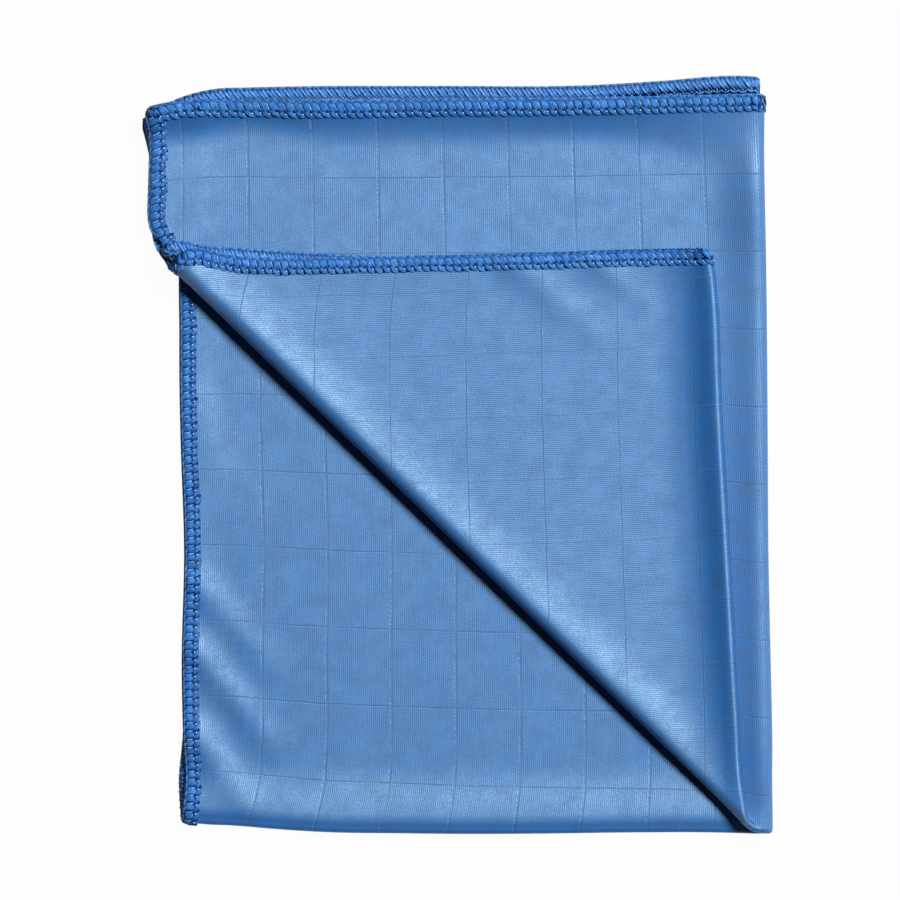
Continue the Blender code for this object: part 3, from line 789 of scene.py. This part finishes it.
def strandMesh(strand, places, toFlat, side, scale):
    # One tube for every stitch of a hem: all points, one tube's faces, its number of points, and how far
    # across its tube each point lies.
    table = np.array(strand["rows"])
    along = places[:, None] + table[None, :, 0]
    edge = table[None, :, 1] * scale[:, None]
    surface, out = onHem(toFlat, along, edge, side)
    spine = surface + out * table[None, :, 2, None]
    tangent = unit(np.gradient(spine, axis=1))
    across = unit(np.cross(tangent, out))
    upright = unit(np.cross(across, tangent))
    outline = np.array(stitch[strand["shape"]])
    sides = len(outline)
    width = table[None, :, 3, None, None]
    if strand["shape"] == "pillow":
        # Wide bars keep touching where the hem is stretched round a bend.
        spacing = np.linalg.norm(np.gradient(spine, axis=0), axis=-1) / stitch["pitch"]
        width = width * np.clip(spacing, *stitch["stretch"])[:, :, None, None]
    height = table[None, :, 4, None, None]
    ring = across[:, :, None] * outline[None, None, :, :1] * width
    ring = ring + upright[:, :, None] * outline[None, None, :, 1:] * height
    points = (spine[:, :, None] + ring).reshape(-1, 3)
    rings = len(table)
    faces = []
    for level in range(rings - 1):
        for index in range(sides):
            after = (index + 1) % sides
            low, high = level * sides, (level + 1) * sides
            faces.append((low + index, high + index, high + after, low + after))
    faces.append(tuple(range(sides)))
    faces.append(tuple((rings - 1) * sides + index for index in reversed(range(sides))))
    grain = np.broadcast_to(outline[None, None, :, 0] * width[..., 0], (len(places), rings, sides))
    return points, faces, rings * sides, grain.ravel()


def makeStitches(name, strands, side, material):
    points, faces, tones, grains = [], [], [], []
    base = 0
    chance = np.random.default_rng(stitch["seed"])
    for start, stop, toFlat in hemRuns():
        number = int(round((stop - start) / stitch["pitch"]))
        places = start + (np.arange(number) + 0.5) * (stop - start) / number
        places = places + chance.normal(0.0, stitch["jitter"], number)
        scale = 1.0 + chance.normal(0.0, stitch["scaleJitter"], number)
        for strand in strands.values():
            made, strandFaces, size, grain = strandMesh(strand, places, toFlat, side, scale)
            shade = strand["tone"] + chance.normal(0.0, stitch["toneJitter"], number)
            for index in range(number):
                for face in strandFaces:
                    faces.append(tuple(base + index * size + corner for corner in face))
            points.append(made)
            grains.append(grain)
            tones.append(np.repeat(shade, size))
            base += len(made)
    points = np.concatenate(points)
    # Stitches against the floor are pressed flat.
    pressed = stitch["floor"] + (points[:, 2] - stitch["floor"]) * stitch["pressed"]
    points[:, 2] = np.where(points[:, 2] < stitch["floor"], pressed, points[:, 2])
    piece = newObject(name, points * millimetre, faces, material)
    fixNormals(piece)
    tone = piece.data.attributes.new("tone", "FLOAT", "POINT")
    tone.data.foreach_set("value", np.concatenate(tones).astype(np.float32))
    fibres = piece.data.attributes.new("fibres", "FLOAT", "POINT")
    fibres.data.foreach_set("value", np.concatenate(grains).astype(np.float32))
    return piece


def fixNormals(piece):
    mesh = bmesh.new()
    mesh.from_mesh(piece.data)
    bmesh.ops.recalc_face_normals(mesh, faces=mesh.faces)
    mesh.to_mesh(piece.data)
    mesh.free()


class Nodes:
    # Short hand for building a material's node tree.
    def __init__(self, name):
        self.material = bpy.data.materials.new(name)
        self.material.use_nodes = True
        self.tree = self.material.node_tree
        self.shader = self.tree.nodes["Principled BSDF"]

    def add(self, kind, inputs=(), **settings):
        node = self.tree.nodes.new(kind)
        for key, value in settings.items():
            setattr(node, key, value)
        for key, value in dict(inputs).items():
            self.put(node.inputs[key], value)
        return node

    def put(self, socket, value):
        if isinstance(value, bpy.types.NodeSocket):
            self.tree.links.new(value, socket)
        else:
            socket.default_value = value

    def math(self, operation, first, second=0.0, third=0.0):
        return self.add("ShaderNodeMath", {0: first, 1: second, 2: third}, operation=operation).outputs[0]

    def shade(self, name, value):
        self.put(self.shader.inputs[name], value)

    def scaled(self, value, factor, shift):
        return self.math("MULTIPLY_ADD", value, factor, shift)

    def remap(self, value, low, high, toLow, toHigh):
        return self.add("ShaderNodeMapRange", {0: value, 1: low, 2: high, 3: toLow, 4: toHigh}).outputs[0]

    def mix(self, share, first, second):
        node = self.add("ShaderNodeMix", data_type="RGBA")
        self.put(node.inputs[0], share)
        self.put(node.inputs[6], first)
        self.put(node.inputs[7], second)
        return node.outputs[2]

    def band(self, value, centre, halfWidth, soft):
        # One near the centre of a repeat and nothing away from it.
        away = self.math("ABSOLUTE", self.math("SUBTRACT", value, centre))
        return self.remap(away, halfWidth, halfWidth + soft, 1.0, 0.0)

    def noise(self, vector, scale, detail=2.0, roughness=0.5):
        inputs = {"Vector": vector, "Scale": scale, "Detail": detail, "Roughness": roughness}
        return self.add("ShaderNodeTexNoise", inputs).outputs[0]

    def flatNoise(self, across, along, grain, detail, roughness):
        # Noise that lies along the weave, with its own grain across and along the cloth.
        scaledAcross = self.math("MULTIPLY", across, grain[0])
        scaledAlong = self.math("MULTIPLY", along, grain[1])
        at = self.add("ShaderNodeCombineXYZ", {0: scaledAcross, 1: scaledAlong})
        return self.noise(at.outputs[0], 1.0, detail, roughness)

    def bump(self, height, strength, distance):
        inputs = {"Strength": strength, "Distance": distance, "Height": height}
        self.shade("Normal", self.add("ShaderNodeBump", inputs).outputs[0])

    def attribute(self, name):
        return self.add("ShaderNodeAttribute", attribute_name=name).outputs["Fac"]


# The woven cloth. Colours are linear; grains count the noise across and along one pane.
weave = {
    "deep": (0.003, 0.062, 0.232, 1.0),
    "light": (0.012, 0.130, 0.414, 1.0),
    "line": (0.001, 0.034, 0.160, 1.0),
    "dash": (0.150, 0.340, 0.640, 1.0),
    # Hem colour: partly the fabric under the stitches, partly painted shade in their gaps and at their
    # edge.
    "hem": (0.003, 0.018, 0.080, 1.0),
    "sheen": (0.70, 0.96, 1.0, 1.0),
    "ribsPerPane": 33.0,
    "ribTone": 0.62,
    "ribPatch": {"grain": (5.0, 4.0), "from": (0.36, 0.62), "to": (0.12, 1.0)},
    "streak": {"grain": (22.0, 4.2), "tone": (0.5, -0.25)},
    "fine": {"grain": (46.0, 40.0), "tone": (1.3, -0.65)},
    "cloud": {"scale": 150.0, "tone": (1.1, -0.05)},
    "wobble": {"scale": 160.0, "shift": (0.020, -0.010)},
    "fade": {"scale": 75.0, "from": (0.36, 0.60), "to": (0.25, 1.0)},
    "dots": {"scale": 1100.0, "from": (0.44, 0.54), "to": (0.0, 1.0)},
    "darkUpright": (0.500, 0.007, 0.014),
    "darkLevel": (0.500, 0.004, 0.009),
    "darkLevelShare": 0.75,
    "lightUpright": (0.530, 0.010, 0.012),
    "lightLevel": (0.486, 0.004, 0.006),
    "lightLevelShare": 0.35,
    "lineTone": 0.9,
    "lineMix": 0.42,
    "dashMix": 0.36,
    "hemMatt": 0.9,
    "rough": (0.76, 0.53),
    "anisotropy": 0.45,
    "index": 1.77,
    "ribHeight": 0.8,
    "fineHeight": 0.7,
    "lineHeight": 0.8,
    "bumpStrength": 0.5,
    "bumpDistance": 0.0001,
}


def microfibre():
    nodes = Nodes("microfibre")
    uvMap = nodes.add("ShaderNodeUVMap", uv_map="weave")
    split = nodes.add("ShaderNodeSeparateXYZ", {0: uvMap.outputs[0]})
    across, along = split.outputs[0], split.outputs[1]
    objectPlace = nodes.add("ShaderNodeTexCoord").outputs["Object"]
    # Ribs run along the cloth and come and go in patches; longer streaks lie along them.
    rib = nodes.math("SINE", nodes.math("MULTIPLY", across, 2.0 * np.pi * weave["ribsPerPane"]))
    patch = nodes.flatNoise(across, along, weave["ribPatch"]["grain"], 2.0, 0.55)
    ribShare = nodes.remap(patch, *weave["ribPatch"]["from"], *weave["ribPatch"]["to"])
    streak = nodes.flatNoise(across, along, weave["streak"]["grain"], 2.0, 0.6)
    fine = nodes.flatNoise(across, along, weave["fine"]["grain"], 1.0, 0.5)
    ribTone = nodes.math("MULTIPLY", nodes.math("MULTIPLY", rib, weave["ribTone"]), ribShare)
    tone = nodes.math("ADD", ribTone, nodes.scaled(streak, *weave["streak"]["tone"]))
    tone = nodes.math("ADD", tone, nodes.scaled(fine, *weave["fine"]["tone"]))
    # The face is cloudy: soft patches a few millimetres wide.
    cloud = nodes.noise(objectPlace, weave["cloud"]["scale"], 3.0, 0.6)
    tone = nodes.math("ADD", tone, nodes.scaled(cloud, *weave["cloud"]["tone"]))
    # Woven lines: a dark line, and a dotted light thread beside the upright ones.
    wobble = nodes.scaled(nodes.noise(objectPlace, weave["wobble"]["scale"]), *weave["wobble"]["shift"])
    acrossPlace = nodes.math("FRACT", nodes.math("ADD", nodes.math("ADD", across, wobble), 0.5))
    alongPlace = nodes.math("FRACT", nodes.math("ADD", nodes.math("ADD", along, wobble), 0.5))
    fade = nodes.noise(objectPlace, weave["fade"]["scale"], 2.0, 0.6)
    fade = nodes.remap(fade, *weave["fade"]["from"], *weave["fade"]["to"])
    upright = nodes.attribute("uprightLines")
    dots = nodes.noise(objectPlace, weave["dots"]["scale"], 1.0)
    dots = nodes.remap(dots, *weave["dots"]["from"], *weave["dots"]["to"])
    darkUpright = nodes.math("MULTIPLY", nodes.band(acrossPlace, *weave["darkUpright"]), upright)
    darkLevel = nodes.band(alongPlace, *weave["darkLevel"])
    darkLevel = nodes.math("MULTIPLY", darkLevel, weave["darkLevelShare"])
    dark = nodes.math("MULTIPLY", nodes.math("MAXIMUM", darkUpright, darkLevel), fade)
    lightUpright = nodes.math("MULTIPLY", nodes.band(acrossPlace, *weave["lightUpright"]), dots)
    lightUpright = nodes.math("MULTIPLY", lightUpright, upright)
    lightLevel = nodes.math("MULTIPLY", nodes.band(alongPlace, *weave["lightLevel"]), dots)
    lightLevel = nodes.math("MULTIPLY", lightLevel, weave["lightLevelShare"])
    light = nodes.math("MULTIPLY", nodes.math("MAXIMUM", lightUpright, lightLevel), fade)
    hem = nodes.attribute("hem")
    tone = nodes.math("SUBTRACT", tone, nodes.math("MULTIPLY", dark, weave["lineTone"]))
    colour = nodes.mix(tone, weave["deep"], weave["light"])
    colour = nodes.mix(nodes.math("MULTIPLY", dark, weave["lineMix"]), colour, weave["line"])
    colour = nodes.mix(nodes.math("MULTIPLY", light, weave["dashMix"]), colour, weave["dash"])
    # Near the edge the dark hem colour: fabric under the stitches, and painted shade in their gaps and
    # edge.
    colour = nodes.mix(hem, colour, weave["hem"])
    nodes.shade("Base Color", colour)
    rough = nodes.remap(tone, 0.0, 1.0, *weave["rough"])
    matt = nodes.math("MAXIMUM", nodes.math("MULTIPLY", hem, weave["hemMatt"]), dark)
    nodes.shade("Roughness", nodes.math("MAXIMUM", rough, matt))
    nodes.shade("IOR", weave["index"])
    nodes.shade("Specular IOR Level", 1.0)
    nodes.shade("Specular Tint", weave["sheen"])
    nodes.shade("Anisotropic", weave["anisotropy"])
    tangent = nodes.add("ShaderNodeTangent", direction_type="UV_MAP", uv_map="weave")
    nodes.shade("Tangent", tangent.outputs[0])
    ribHeight = nodes.math("MULTIPLY", ribTone, weave["ribHeight"])
    height = nodes.math("ADD", ribHeight, nodes.math("MULTIPLY", fine, weave["fineHeight"]))
    lineHeight = nodes.math("MULTIPLY", nodes.math("SUBTRACT", light, dark), weave["lineHeight"])
    height = nodes.math("ADD", height, lineHeight)
    nodes.bump(height, weave["bumpStrength"], weave["bumpDistance"])
    return nodes.material


# The sewing thread: its colour goes by tone, from painted shade below zero through dark and middle
# to a painted highlight at the top.
thread = {
    # Near-black colour of the painted shade for tones below zero.
    "gap": (0.000, 0.009, 0.060, 1.0),
    "dark": (0.002, 0.037, 0.185, 1.0),
    "middle": (0.056, 0.218, 0.580, 1.0),
    "paintedHighlight": (0.450, 0.640, 0.900, 1.0),
    "paintedHighlightFrom": 0.9,
    "paintedShadeGrowth": -2.0,
    "sheen": (0.24, 0.60, 1.0, 1.0),
    "roughness": 0.55,
    "shine": 0.4,
    "fibreRate": 15.0,
    "fibreStrength": 0.15,
    "fuzzScale": 900.0,
    "fibreTone": (1.6, -0.8),
    "paintedSideShadePower": 3.0,
    "paintedSideShadeTone": 0.3,
    "bumpStrength": 0.5,
    "bumpDistance": 0.0001,
}


def overlockThread():
    nodes = Nodes("overlockThread")
    objectPlace = nodes.add("ShaderNodeTexCoord").outputs["Object"]
    tone = nodes.attribute("tone")
    strands = nodes.math("MULTIPLY", nodes.attribute("fibres"), thread["fibreRate"])
    strands = nodes.math("SINE", strands)
    fuzz = nodes.noise(objectPlace, thread["fuzzScale"], 3.0, 0.6)
    fibre = nodes.scaled(strands, thread["fibreStrength"], fuzz)
    tone = nodes.math("ADD", tone, nodes.scaled(fibre, *thread["fibreTone"]))
    # Painted shade: wide bars are darker towards their sides, where the threads dive between their
    # neighbours.
    sides = nodes.math("ABSOLUTE", nodes.attribute("fibres"))
    sides = nodes.math("POWER", sides, thread["paintedSideShadePower"])
    tone = nodes.math("SUBTRACT", tone, nodes.math("MULTIPLY", sides, thread["paintedSideShadeTone"]))
    colour = nodes.mix(tone, thread["dark"], thread["middle"])
    # Painted highlight for the brightest tones, then painted shade for tones below zero.
    colour = nodes.mix(nodes.math("SUBTRACT", tone, thread["paintedHighlightFrom"]), colour, thread["paintedHighlight"])
    colour = nodes.mix(nodes.math("MULTIPLY", tone, thread["paintedShadeGrowth"]), colour, thread["gap"])
    nodes.shade("Base Color", colour)
    nodes.shade("Roughness", thread["roughness"])
    nodes.shade("Specular IOR Level", thread["shine"])
    nodes.shade("Specular Tint", thread["sheen"])
    nodes.bump(fibre, thread["bumpStrength"], thread["bumpDistance"])
    return nodes.material


sheet = makeSheet(microfibre())
print("stage: sheet", len(sheet.data.vertices), "points")
threadMaterial = overlockThread()
frontStitches = makeStitches("overlockFront", stitch["front"], 1.0, threadMaterial)
rearStitches = makeStitches("overlockRear", stitch["rear"], -1.0, threadMaterial)
print("stage: stitches", len(frontStitches.data.vertices), len(rearStitches.data.vertices))

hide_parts("cloth")
for piece in (sheet, frontStitches, rearStitches):
    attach(piece, "root")

# Surroundings: pale floor, one soft key lamp from the upper right and a faint sky.
setting = {
    "floorSize": 4.0,
    "floorDrop": 0.0001,
    "floorGlow": 0.965,
    "floorColour": (0.012, 0.012, 0.012, 1.0),
    "keyFrom": (1.42, 1.42, 2.98),
    "keySize": 1.1,
    "keyPower": 213.0,
    "skyColour": (0.92, 0.95, 1.0, 1.0),
    "skyStrength": 0.02,
    "cameraHeight": 2.4,
    "viewWidth": 0.300,
    "aim": (-0.00389, 0.00153),
}


def makeFloor():
    half = setting["floorSize"] / 2.0
    height = -setting["floorDrop"]
    corners = [(-half, -half, height), (half, -half, height), (half, half, height), (-half, half, height)]
    nodes = Nodes("paleFloor")
    nodes.shade("Base Color", setting["floorColour"])
    nodes.shade("Roughness", 1.0)
    nodes.shade("Specular IOR Level", 0.0)
    nodes.shade("Emission Color", (1.0, 1.0, 1.0, 1.0))
    nodes.shade("Emission Strength", setting["floorGlow"])
    return newObject("paleFloor", corners, [(0, 1, 2, 3)], nodes.material)


def makeKey():
    data = bpy.data.lights.new("keyLamp", "AREA")
    data.shape = "DISK"
    data.size = setting["keySize"]
    data.energy = setting["keyPower"]
    lamp = bpy.data.objects.new("keyLamp", data)
    lamp.location = setting["keyFrom"]
    lamp.rotation_mode = "QUATERNION"
    lamp.rotation_quaternion = Vector(setting["keyFrom"]).to_track_quat("Z", "Y")
    bpy.context.scene.collection.objects.link(lamp)
    return lamp


def makeCamera():
    data = bpy.data.cameras.new("camera")
    data.sensor_width = 36.0
    data.lens = data.sensor_width * setting["cameraHeight"] / setting["viewWidth"]
    data.dof.use_dof = False
    camera = bpy.data.objects.new("camera", data)
    camera.location = (*setting["aim"], setting["cameraHeight"])
    bpy.context.scene.collection.objects.link(camera)
    bpy.context.scene.camera = camera


def makeSky():
    sky = bpy.data.worlds.new("sky")
    sky.use_nodes = True
    background = sky.node_tree.nodes["Background"]
    background.inputs["Color"].default_value = setting["skyColour"]
    background.inputs["Strength"].default_value = setting["skyStrength"]
    bpy.context.scene.world = sky


makeFloor()
makeKey()
makeSky()
makeCamera()
bpy.context.scene.view_settings.view_transform = "Standard"
print("stage: lamps and camera")
